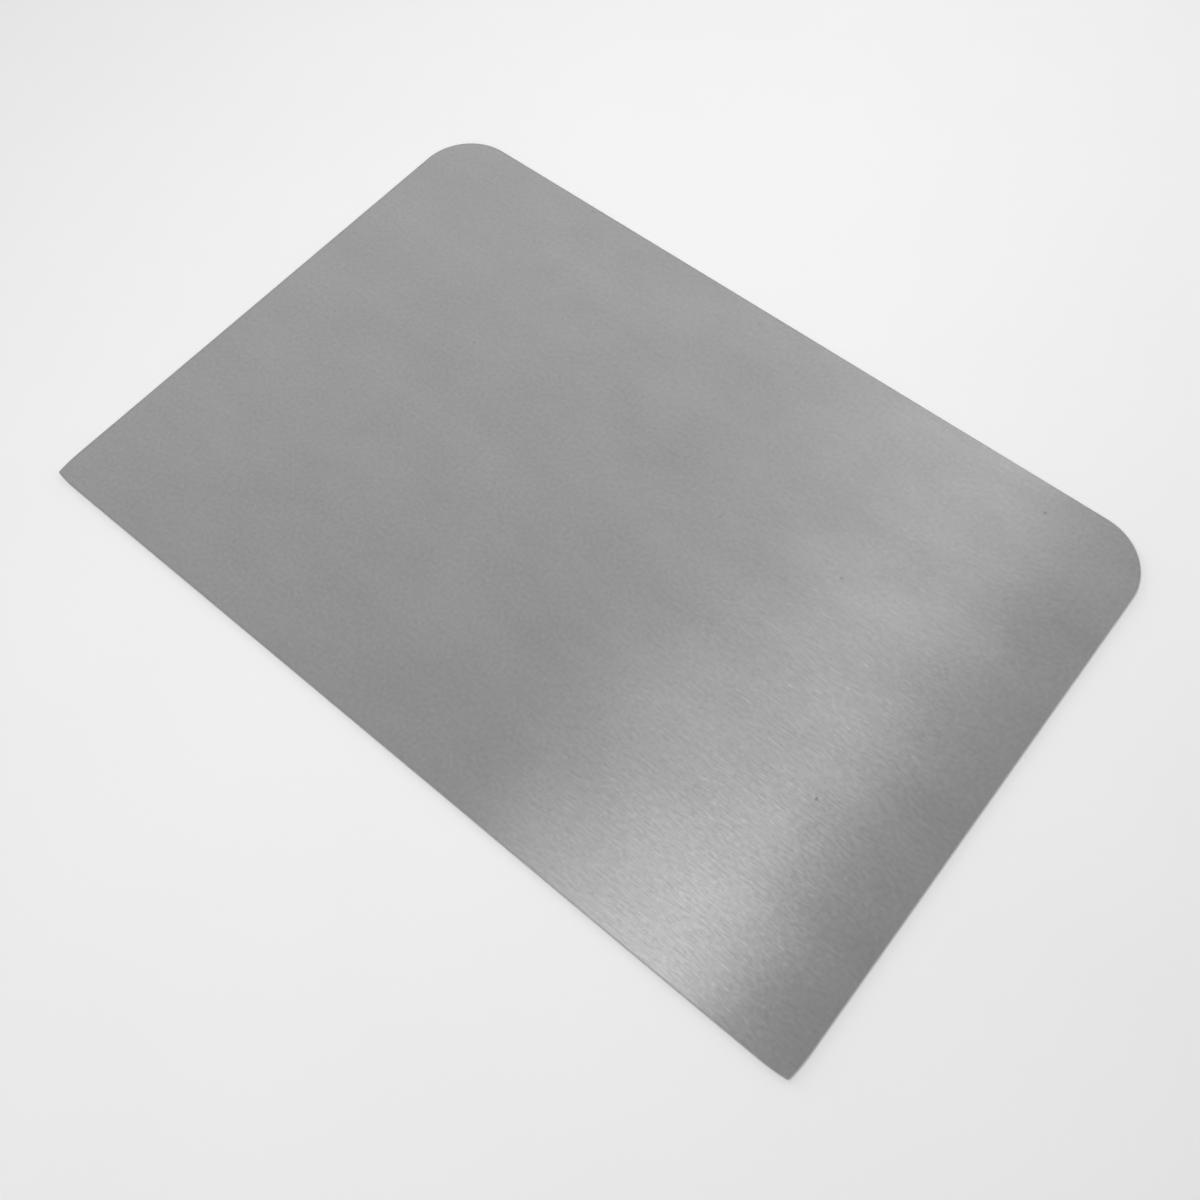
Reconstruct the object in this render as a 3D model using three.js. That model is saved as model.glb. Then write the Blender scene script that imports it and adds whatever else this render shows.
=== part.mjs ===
// Handleless kitchen scraper: one flat sheet of brushed stainless steel.
// Two round corners lie on the palm side, and an eased tip ends the straight scraping edge on either side.
// Millimetres. +X runs along the scraping edge, +Y points to the palm side and +Z is up.
// The sheet lies on its underside, with the origin at the middle of that face.
import * as THREE from 'three';

// Driving dimensions
const bladeLength = 150; // along the scraping edge
const bladeDepth = 100; // from the scraping edge to the palm edge
const sheetThickness = 0.5;
const palmCornerRadius = 10; // the two corners that sit in the palm
const tipEaseLength = 5; // the last stretch of each edge before a tip, which curves in
const tipEaseRadius = 30; // of that slow curve
const tipNoseRadius = 0.4; // of the tip itself
const edgeBreak = 0.1; // rounding that takes the burr off the rim, on both faces

// Facets
const palmFacets = 24; // of a palm corner
const tipFacets = 6; // of each of the three arcs that make a tip
const breakFacets = 3; // across the broken edge

const quarterTurn = Math.PI / 2;

// The nose of a tip touches the two slow curves beside it. That sets how far its centre lies inside
// either edge, and how far a slow curve has turned where the nose takes over.
const easeReach = tipEaseLength + tipEaseRadius;
const easePower = tipEaseLength ** 2 + 2 * tipEaseRadius * tipNoseRadius - tipNoseRadius ** 2;
const noseInset = (easeReach - Math.sqrt(easeReach ** 2 - 2 * easePower)) / 2;
const easeTurn = Math.atan2(tipEaseLength - noseInset, tipEaseRadius - noseInset);

// Points of one arc at a corner, which is the place where two straight edges would meet.
// The first of these edges faces along startAngle and the second a quarter turn further on.
// The arc's centre lies inFirst inside the first edge and inSecond inside the second.
function cornerArc(corner, inFirst, inSecond, radius, fromTurn, toTurn, facets) {
  const faceX = Math.cos(corner.startAngle);
  const faceY = Math.sin(corner.startAngle);
  const centreX = corner.x - inFirst * faceX + inSecond * faceY;
  const centreY = corner.y - inFirst * faceY - inSecond * faceX;
  const from = corner.startAngle + fromTurn;
  const to = corner.startAngle + toTurn;
  return new THREE.EllipseCurve(centreX, centreY, radius, radius, from, to).getPoints(facets);
}

function palmCorner(corner) {
  const radius = palmCornerRadius;
  return cornerArc(corner, radius, radius, radius, 0, quarterTurn, palmFacets);
}

// A slow curve, the nose and a slow curve again. Each arc goes on from the last point of the one before.
function easedTip(corner) {
  const noseEnd = quarterTurn - easeTurn;
  const leadIn = cornerArc(corner, tipEaseRadius, tipEaseLength, tipEaseRadius, 0, easeTurn, tipFacets);
  const nose = cornerArc(corner, noseInset, noseInset, tipNoseRadius, easeTurn, noseEnd, tipFacets);
  const leadOut = cornerArc(corner, tipEaseLength, tipEaseRadius, tipEaseRadius, noseEnd, quarterTurn, tipFacets);
  return [...leadIn, ...nose.slice(1), ...leadOut.slice(1)];
}

function cornerAt(sideX, sideY, startAngle) {
  return { x: (sideX * bladeLength) / 2, y: (sideY * bladeDepth) / 2, startAngle };
}

// Walks the rim anticlockwise, from the right-hand tip of the scraping edge.
function bladeOutline() {
  return new THREE.Shape([
    ...easedTip(cornerAt(1, -1, -quarterTurn)),
    ...palmCorner(cornerAt(1, 1, 0)),
    ...palmCorner(cornerAt(-1, 1, quarterTurn)),
    ...easedTip(cornerAt(-1, -1, 2 * quarterTurn)),
  ]);
}

// The bevel is offset inwards by its own size, so the rim keeps the full length and depth.
function bladeGeometry() {
  const geometry = new THREE.ExtrudeGeometry(bladeOutline(), {
    depth: sheetThickness - 2 * edgeBreak,
    bevelEnabled: true,
    bevelThickness: edgeBreak,
    bevelSize: edgeBreak,
    bevelOffset: -edgeBreak,
    bevelSegments: breakFacets,
  });
  return geometry.translate(0, 0, edgeBreak);
}

const brushedSteel = new THREE.MeshStandardMaterial({
  color: 0xc6c6c6,
  roughness: 0.38,
  metalness: 1,
});

const blade = new THREE.Mesh(bladeGeometry(), brushedSteel);
blade.name = 'scraper_blade';

const scraper = new THREE.Group();
scraper.add(blade);

export default scraper;
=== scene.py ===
import math
import bmesh
import bpy
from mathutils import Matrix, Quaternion, Vector


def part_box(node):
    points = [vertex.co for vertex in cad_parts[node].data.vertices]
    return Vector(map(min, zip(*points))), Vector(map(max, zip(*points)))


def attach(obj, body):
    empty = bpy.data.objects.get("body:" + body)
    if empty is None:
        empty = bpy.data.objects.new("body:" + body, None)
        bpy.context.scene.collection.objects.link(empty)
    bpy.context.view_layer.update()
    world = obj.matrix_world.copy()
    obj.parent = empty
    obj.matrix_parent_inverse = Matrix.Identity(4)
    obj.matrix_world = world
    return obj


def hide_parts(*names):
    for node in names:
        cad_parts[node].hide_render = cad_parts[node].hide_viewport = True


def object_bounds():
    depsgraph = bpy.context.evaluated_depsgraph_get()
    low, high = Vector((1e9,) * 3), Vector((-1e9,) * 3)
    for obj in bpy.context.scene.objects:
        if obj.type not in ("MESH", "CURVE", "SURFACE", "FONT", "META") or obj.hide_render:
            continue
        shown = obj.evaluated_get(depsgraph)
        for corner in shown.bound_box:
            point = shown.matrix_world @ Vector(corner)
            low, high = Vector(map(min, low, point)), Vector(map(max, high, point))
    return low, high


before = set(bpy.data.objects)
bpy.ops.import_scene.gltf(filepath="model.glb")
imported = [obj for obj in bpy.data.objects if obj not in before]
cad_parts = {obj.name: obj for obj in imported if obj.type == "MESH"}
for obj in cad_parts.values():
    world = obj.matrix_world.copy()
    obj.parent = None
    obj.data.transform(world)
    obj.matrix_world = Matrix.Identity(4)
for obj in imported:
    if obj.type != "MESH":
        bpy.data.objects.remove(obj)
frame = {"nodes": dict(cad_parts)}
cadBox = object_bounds()
scene = bpy.context.scene
scene.view_settings.view_transform = "Standard"
print("frame loaded, nodes:", ", ".join(frame["nodes"]))


# A wire is one output socket. Sums on wires add Math nodes to its tree.
class Wire:
    def __init__(self, shader, socket):
        self.shader = shader
        self.socket = socket

    def math(self, operation, first, second):
        return self.shader.node("Math", {"operation": operation}, {0: first, 1: second})

    def __add__(self, other):
        return self.math("ADD", self, other)

    def __sub__(self, other):
        return self.math("SUBTRACT", self, other)

    def __rsub__(self, other):
        return self.math("SUBTRACT", other, self)

    def __mul__(self, other):
        return self.math("MULTIPLY", self, other)

    def atLeast(self, other):
        return self.math("MAXIMUM", self, other)

    __radd__ = __add__
    __rmul__ = __mul__


class Shader:
    def __init__(self, owner):
        owner.use_nodes = True
        self.tree = owner.node_tree
        self.tree.nodes.clear()

    # settings go on the node first, then values or wires go into its sockets
    def node(self, kind, settings=None, sockets=None, output=0):
        made = self.tree.nodes.new("ShaderNode" + kind)
        for name, value in (settings or {}).items():
            setattr(made, name, value)
        for name, value in (sockets or {}).items():
            if isinstance(value, Wire):
                self.tree.links.new(value.socket, made.inputs[name])
            else:
                made.inputs[name].default_value = value
        return Wire(self, made.outputs[output]) if made.outputs else made

    # eased step from 0 at start to 1 at end
    def step(self, value, start, end):
        settings = {"interpolation_type": "SMOOTHSTEP"}
        return self.node("MapRange", settings, {"Value": value, "From Min": start, "From Max": end})

    # noise with its own grain size along each axis, in metres
    def noise(self, point, grain, detail=2.0, seed=0.0):
        scale = [1 / size for size in grain]
        sockets = {"Vector": point, "Location": (seed, seed, seed), "Scale": scale}
        place = self.node("Mapping", {}, sockets)
        return self.node("TexNoise", {}, {"Vector": place, "Scale": 1.0, "Detail": detail})

    # the Mix node's colours go into its sockets 6 and 7, and come out of its output 2
    def mixColour(self, factor, first, second):
        sockets = {0: factor, 6: (*first, 1.0), 7: (*second, 1.0)}
        return self.node("Mix", {"data_type": "RGBA"}, sockets, 2)


noiseMean = 0.5


def newShader(name):
    material = bpy.data.materials.new(name)
    return material, Shader(material)


def grey(value):
    return (value, value, value)


def addObject(name, data):
    made = bpy.data.objects.new(name, data)
    scene.collection.objects.link(made)
    return made


# Camera, at the photograph's viewing angle
cameraSpec = {
    "place": (0.070147, -0.070167, 0.16889),
    "aim": (0.015284, -0.008105, 0.0005),
    "roll": -2.567,  # degrees
    "lens": 36.182,
    "sensor": 36.0,
    "shiftX": -0.0301,
    "clip": (0.01, 20.0),
}


def makeCamera(spec):
    data = bpy.data.cameras.new("camera")
    data.lens = spec["lens"]
    data.sensor_width = spec["sensor"]
    data.shift_x = spec["shiftX"]
    data.clip_start, data.clip_end = spec["clip"]
    camera = addObject("camera", data)
    place = Vector(spec["place"])
    towards = (Vector(spec["aim"]) - place).to_track_quat("-Z", "Y")
    camera.rotation_mode = "QUATERNION"
    camera.rotation_quaternion = towards @ Quaternion((0, 0, 1), math.radians(spec["roll"]))
    camera.location = place
    scene.camera = camera


makeCamera(cameraSpec)
print("camera set")


# Studio: a soft dome with two strips of light in it, a key light overhead and a low one far left.
# Ranges in the dome are shares of a direction's x, y or z.
domeSpec = {
    "overhead": 0.366,
    "tilt": 0.313,  # lighter towards the palm side
    "glow": 1.35,  # pale wall behind the palm side
    "glowStart": (0.61, 1.01),
    "leftGain": 0.339,  # pale wall on the left
    "leftStart": -0.25,
    "rightLoss": 0.235,
    "strip": 1.486,  # broad strip overhead
    "stripSide": (-0.290, -0.272),  # its crisp left border
    "stripFoot": 0.063,
    "stripRise": (-0.297, -0.020),
    "stripEnd": (-0.097, -0.017),  # its soft right border
    "stripFade": (0.09, 0.19),  # where it ends towards the palm side
    "shade": 0.329,  # unlit side of the strip
    "sideStrip": 0.40,  # a second, paler strip on the right
    "sideStripStart": (0.40, 0.58),
    "sideStripEnd": (0.70, 0.88),
    "least": 0.32,
    "horizon": 0.82,  # pale light round the foot of the dome
    "horizonTop": 0.45,
}


def makeDome(spec):
    world = bpy.data.worlds.new("studio_dome")
    scene.world = world
    shader = Shader(world)
    way = shader.node("TexCoord", {}, {}, "Generated")
    x, y, z = (shader.node("SeparateXYZ", {}, {"Vector": way}, axis) for axis in "XYZ")
    walls = spec["glow"] * shader.step(y, *spec["glowStart"])
    walls = walls + spec["leftGain"] * (spec["leftStart"] - x).atLeast(0.0)
    walls = walls - spec["rightLoss"] * x.atLeast(0.0)
    first, last = spec["stripRise"]
    rise = {"Value": x, "From Min": first, "From Max": last, "To Min": spec["stripFoot"]}
    past = shader.step(x, *spec["stripEnd"])
    strip = shader.node("MapRange", {}, rise) * shader.step(x, *spec["stripSide"]) * (1 - past)
    strip = strip * (1 - shader.step(y, *spec["stripFade"]))
    shade = past * y.atLeast(0.0)
    light = spec["overhead"] + spec["tilt"] * y + walls + spec["strip"] * strip - spec["shade"] * shade
    sideStrip = shader.step(x, *spec["sideStripStart"]) * (1 - shader.step(x, *spec["sideStripEnd"]))
    light = light.atLeast(spec["least"]) + spec["sideStrip"] * sideStrip
    low = 1 - shader.step(z, 0.0, spec["horizonTop"])
    light = light + low * (spec["horizon"] - light)
    sky = shader.node("Background", {}, {"Color": (1, 1, 1, 1), "Strength": light})
    shader.node("OutputWorld", {}, {"Surface": sky})


makeDome(domeSpec)

softBoxSpec = {
    "key": {"way": (-0.30, -0.20, 0.93), "distance": 2.5, "size": 1.0, "power": 22.0},
    "left": {"way": (-0.966, 0.05, 0.25), "distance": 4.0, "size": 1.7, "power": 50.0},
}


def makeSoftBox(name, spec):
    data = bpy.data.lights.new(name, "AREA")
    data.energy = spec["power"]
    data.size = spec["size"]
    lamp = addObject(name, data)
    lamp.visible_glossy = False  # the steel mirrors the dome alone
    way = Vector(spec["way"]).normalized()
    lamp.location = way * spec["distance"]
    lamp.rotation_mode = "QUATERNION"
    lamp.rotation_quaternion = (-way).to_track_quat("-Z", "Y")


for side, spec in softBoxSpec.items():
    makeSoftBox("soft_box_" + side, spec)
print("studio lit")


# Floor, with a pool of light painted into its colour and painted shade around it
floorSpec = {
    "radius": 3.0,
    "sides": 96,
    "gap": 0.00003,  # keeps the floor just under the blade
    "pale": 0.945,
    # painted shade: the floor's colour away from the painted pool of light
    "paintedShadeGrey": 0.735,
    "paintedLightPool": (-0.020, 0.065, 0.0),  # middle of the pool of light painted into the floor's colour
    "paintedPoolSpread": (1.0, 0.66, 1.0),
    "paintedPoolRadius": 0.25,
    "patch": 0.10,  # faint unevenness
    "patchGrain": (0.03, 0.03, 0.03),
    "roughness": 0.7,
    "specular": 0.2,
}


def floorMaterial(spec):
    material, shader = newShader("pale_floor")
    point = shader.node("TexCoord", {}, {}, "Object")
    cloud = shader.noise(point, spec["patchGrain"])
    fromPaintedPool = shader.node("VectorMath", {"operation": "SUBTRACT"}, {0: point, 1: spec["paintedLightPool"]})
    spread = shader.node("VectorMath", {"operation": "MULTIPLY"}, {0: fromPaintedPool, 1: spec["paintedPoolSpread"]})
    away = shader.node("VectorMath", {"operation": "LENGTH"}, {0: spread}, "Value")
    # painted shade: the colour dulls away from a painted pool of light, plus faint unevenness
    paintedShadeAndPatches = shader.step(away, 0.0, spec["paintedPoolRadius"]) + spec["patch"] * (cloud - noiseMean)
    colour = shader.mixColour(paintedShadeAndPatches, grey(spec["pale"]), grey(spec["paintedShadeGrey"]))
    sockets = {
        "Base Color": colour,
        "Roughness": spec["roughness"],
        "Specular IOR Level": spec["specular"],
    }
    surface = shader.node("BsdfPrincipled", {}, sockets)
    shader.node("OutputMaterial", {}, {"Surface": surface})
    return material


def makeFloor(spec):
    bm = bmesh.new()
    bmesh.ops.create_circle(bm, cap_ends=True, segments=spec["sides"], radius=spec["radius"])
    bmesh.ops.translate(bm, vec=(0, 0, cadBox[0].z - spec["gap"]), verts=bm.verts)
    mesh = bpy.data.meshes.new("floor")
    bm.to_mesh(mesh)
    bm.free()
    mesh.materials.append(floorMaterial(spec))
    floor = addObject("floor", mesh)


makeFloor(floorSpec)
print("floor laid")


# Blade
bladeSpec = {
    "palmRadius": 0.010,
    "palmSteps": 32,
    "easeLength": 0.005,  # the last stretch of each edge before a tip, which curves in
    "easeRadius": 0.030,
    "noseRadius": 0.0004,
    "tipSteps": 8,
    "rimRound": 0.0001,
    "rimSteps": 3,
    "flatLimit": 0.999,  # upright share of the normal, above which a face is flat
    "wearWidth": 0.00025,
    "darkSteel": 0.45,
    "paleSteel": 0.71,
    "roughness": 0.22,
    "anisotropy": 1.0,
    # layers of the finish: grain size in metres, detail and seed
    "streak": ((0.0021, 0.00038, 0.01), 1.0, 0.0),
    "hair": ((0.0011, 0.00020, 0.01), 1.0, 7.0),
    "scratch": ((0.0034, 0.00022, 0.01), 0.0, 31.0),
    "grit": ((0.0007, 0.00065, 0.01), 2.0, 17.0),
    "cloud": ((0.018, 0.011, 0.01), 3.0, 4.0),
    "mottle": ((0.0060, 0.0040, 0.01), 3.0, 23.0),
    "wave": ((0.035, 0.022, 0.01), 1.0, 11.0),
    "scratchGate": (0.70, 0.80),  # only the peaks of that noise are scratches
    "hairShare": 0.8,  # of hairs and scratches in the brush marks
    "scratchShare": 0.5,
    "brushTone": 0.22,
    "brushRough": 0.04,
    "brushTilt": 0.05,
    "gritTone": 0.48,
    "cloudTone": 0.38,
    "cloudRough": 0.05,
    "mottleTone": 0.12,
    "wearTone": 0.35,
    "wearRough": 0.1,
    "pitTone": 0.35,
    "pitSpacing": 0.019,
    "pitRadius": (0.0001, 0.0004),
    "pitGate": (0.55, 0.95),
    "reliefDepth": 0.000013,
    "streakRelief": 0.8,
    "hairRelief": 0.2,
    "waveRelief": 9.0,
    "pitRelief": 1.2,
    "nick": ((0.0004, 0.0004, 0.0008), 3.0),
    "rimDark": 0.52,
    "rimPale": 0.72,
    "rimRoughness": 0.5,
    "nickRough": 0.25,
}


# small pits, about one in each of the cells that the gate lets through
def specks(shader, point, spec):
    place = shader.node("Mapping", {}, {"Vector": point, "Scale": [1 / spec["pitSpacing"]] * 3})
    cells = {"Vector": place, "Scale": 1.0}
    away = shader.node("TexVoronoi", {"voronoi_dimensions": "2D"}, cells, "Distance")
    draw = shader.node("TexVoronoi", {"voronoi_dimensions": "2D"}, cells, "Color")
    gate = shader.node("SeparateXYZ", {}, {"Vector": draw}, "X")
    inside, outside = (radius / spec["pitSpacing"] for radius in spec["pitRadius"])
    return (1 - shader.step(away, inside, outside)) * shader.step(gate, *spec["pitGate"])


def brushedFace(spec):
    material, shader = newShader("brushed_face")
    point = shader.node("TexCoord", {}, {}, "Object")
    streak = shader.noise(point, *spec["streak"])
    hair = shader.noise(point, *spec["hair"])
    scratch = shader.step(shader.noise(point, *spec["scratch"]), *spec["scratchGate"])
    grit = shader.noise(point, *spec["grit"]) - noiseMean
    cloud = shader.noise(point, *spec["cloud"]) - noiseMean
    mottle = shader.noise(point, *spec["mottle"]) - noiseMean
    wave = shader.noise(point, *spec["wave"])
    brush = streak - noiseMean + spec["hairShare"] * (hair - noiseMean) + spec["scratchShare"] * scratch
    pit = specks(shader, point, spec)
    wear = shader.node("Attribute", {"attribute_name": "wear"}, {}, "Fac")
    tone = noiseMean + spec["brushTone"] * brush + spec["gritTone"] * grit
    tone = tone + spec["cloudTone"] * cloud + spec["mottleTone"] * mottle
    tone = tone - spec["pitTone"] * pit - spec["wearTone"] * wear
    colour = shader.mixColour(tone, grey(spec["darkSteel"]), grey(spec["paleSteel"]))
    rough = spec["roughness"] + spec["cloudRough"] * cloud + spec["wearRough"] * wear
    rough = rough + spec["brushRough"] * brush
    # brush marks tilt the face across the grain only, in the grain map's own axes
    lean = shader.node("CombineXYZ", {}, {"X": 0.5 - spec["brushTilt"] * brush, "Y": 0.5, "Z": 1.0})
    brushed = shader.node("NormalMap", {"uv_map": "grain"}, {"Color": lean})
    relief = spec["streakRelief"] * streak + spec["hairRelief"] * hair
    relief = relief + spec["waveRelief"] * wave - spec["pitRelief"] * pit
    sockets = {"Strength": 1.0, "Distance": spec["reliefDepth"], "Height": relief, "Normal": brushed}
    normal = shader.node("Bump", {}, sockets)
    along = shader.node("Tangent", {"direction_type": "UV_MAP", "uv_map": "grain"})
    sockets = {
        "Base Color": colour,
        "Metallic": 1.0,
        "Roughness": rough,
        "Anisotropic": spec["anisotropy"],
        "Tangent": along,
        "Normal": normal,
    }
    surface = shader.node("BsdfPrincipled", {}, sockets)
    shader.node("OutputMaterial", {}, {"Surface": surface})
    return material


def cutRim(spec):
    material, shader = newShader("cut_rim")
    point = shader.node("TexCoord", {}, {}, "Object")
    nick = shader.noise(point, *spec["nick"])
    colour = shader.mixColour(nick, grey(spec["rimDark"]), grey(spec["rimPale"]))
    rough = spec["rimRoughness"] + spec["nickRough"] * nick
    sockets = {"Base Color": colour, "Metallic": 1.0, "Roughness": rough}
    surface = shader.node("BsdfPrincipled", {}, sockets)
    shader.node("OutputMaterial", {}, {"Surface": surface})
    return material


# points of one arc at a corner: its first edge faces along start, its second a quarter turn further on,
# and the arc's centre lies inside these edges by the two insets
def cornerArc(corner, start, insets, radius, turns, steps):
    first = Vector((math.cos(start), math.sin(start)))
    second = Vector((-first.y, first.x))
    centre = corner - insets[0] * first - insets[1] * second
    points = []
    for i in range(steps + 1):
        turn = turns[0] + (turns[1] - turns[0]) * i / steps
        points.append(centre + radius * (math.cos(turn) * first + math.sin(turn) * second))
    return points


# walks the rim anticlockwise, from the right-hand tip
def bladeOutline(spec, low, high):
    quarter = math.pi / 2
    palm = spec["palmRadius"]
    length, radius, nose = spec["easeLength"], spec["easeRadius"], spec["noseRadius"]
    # the nose touches both slow curves, which sets its centre and where it takes over from them
    reach = length + radius
    power = length ** 2 + 2 * radius * nose - nose ** 2
    inset = (reach - math.sqrt(reach ** 2 - 2 * power)) / 2
    turn = math.atan2(length - inset, radius - inset)
    palmArcs = [((palm, palm), palm, (0, quarter), spec["palmSteps"])]
    tipArcs = [
        ((radius, length), radius, (0, turn), spec["tipSteps"]),
        ((inset, inset), nose, (turn, quarter - turn), spec["tipSteps"]),
        ((length, radius), radius, (quarter - turn, quarter), spec["tipSteps"]),
    ]
    corners = [
        ((high.x, low.y), -quarter, tipArcs),
        ((high.x, high.y), 0.0, palmArcs),
        ((low.x, high.y), quarter, palmArcs),
        ((low.x, low.y), 2 * quarter, tipArcs),
    ]
    points = []
    for place, start, arcs in corners:
        for count, arc in enumerate(arcs):
            # an arc that goes on from another shares its first point
            points += cornerArc(Vector(place), start, *arc)[min(count, 1):]
    return points


def makeBlade(spec):
    low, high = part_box("scraper_blade")
    size = high - low
    bm = bmesh.new()
    outline = bladeOutline(spec, low, high)
    underside = bm.faces.new([bm.verts.new((*point, low.z)) for point in outline])
    raised = bmesh.ops.extrude_face_region(bm, geom=[underside])["geom"]
    top = [part for part in raised if isinstance(part, bmesh.types.BMVert)]
    bmesh.ops.translate(bm, vec=(0, 0, size.z), verts=top)
    bmesh.ops.recalc_face_normals(bm, faces=bm.faces)
    # the burr comes off both faces
    flat = [f for f in bm.faces if abs(f.normal.z) > spec["flatLimit"]]
    rim = [e for f in flat for e in f.edges]
    bmesh.ops.bevel(bm, geom=rim, offset=spec["rimRound"], offset_type="OFFSET", affect="EDGES",
                    segments=spec["rimSteps"], profile=0.5, material=-1)

    # a narrow band of wear runs round both faces, worn most at the rim
    flat = [f for f in bm.faces if abs(f.normal.z) > spec["flatLimit"]]
    wear = bm.verts.layers.float.new("wear")
    for vert in bm.verts:
        vert[wear] = 1.0
    bmesh.ops.inset_individual(bm, faces=flat, thickness=spec["wearWidth"], depth=0.0)
    for face in flat:
        for vert in face.verts:
            vert[wear] = 0.0

    grain = bm.loops.layers.uv.new("grain")
    for face in bm.faces:
        onRim = abs(face.normal.z) < spec["flatLimit"]
        face.smooth = onRim
        face.material_index = 1 if onRim else 0
        for loop in face.loops:
            loop[grain].uv = (loop.vert.co.y / size.x, loop.vert.co.x / size.x)
    mesh = bpy.data.meshes.new("brushed_blade")
    bm.to_mesh(mesh)
    bm.free()
    mesh.materials.append(brushedFace(spec))
    mesh.materials.append(cutRim(spec))
    blade = addObject("brushed_blade", mesh)
    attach(blade, "root")
    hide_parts("scraper_blade")


makeBlade(bladeSpec)
print("blade made")
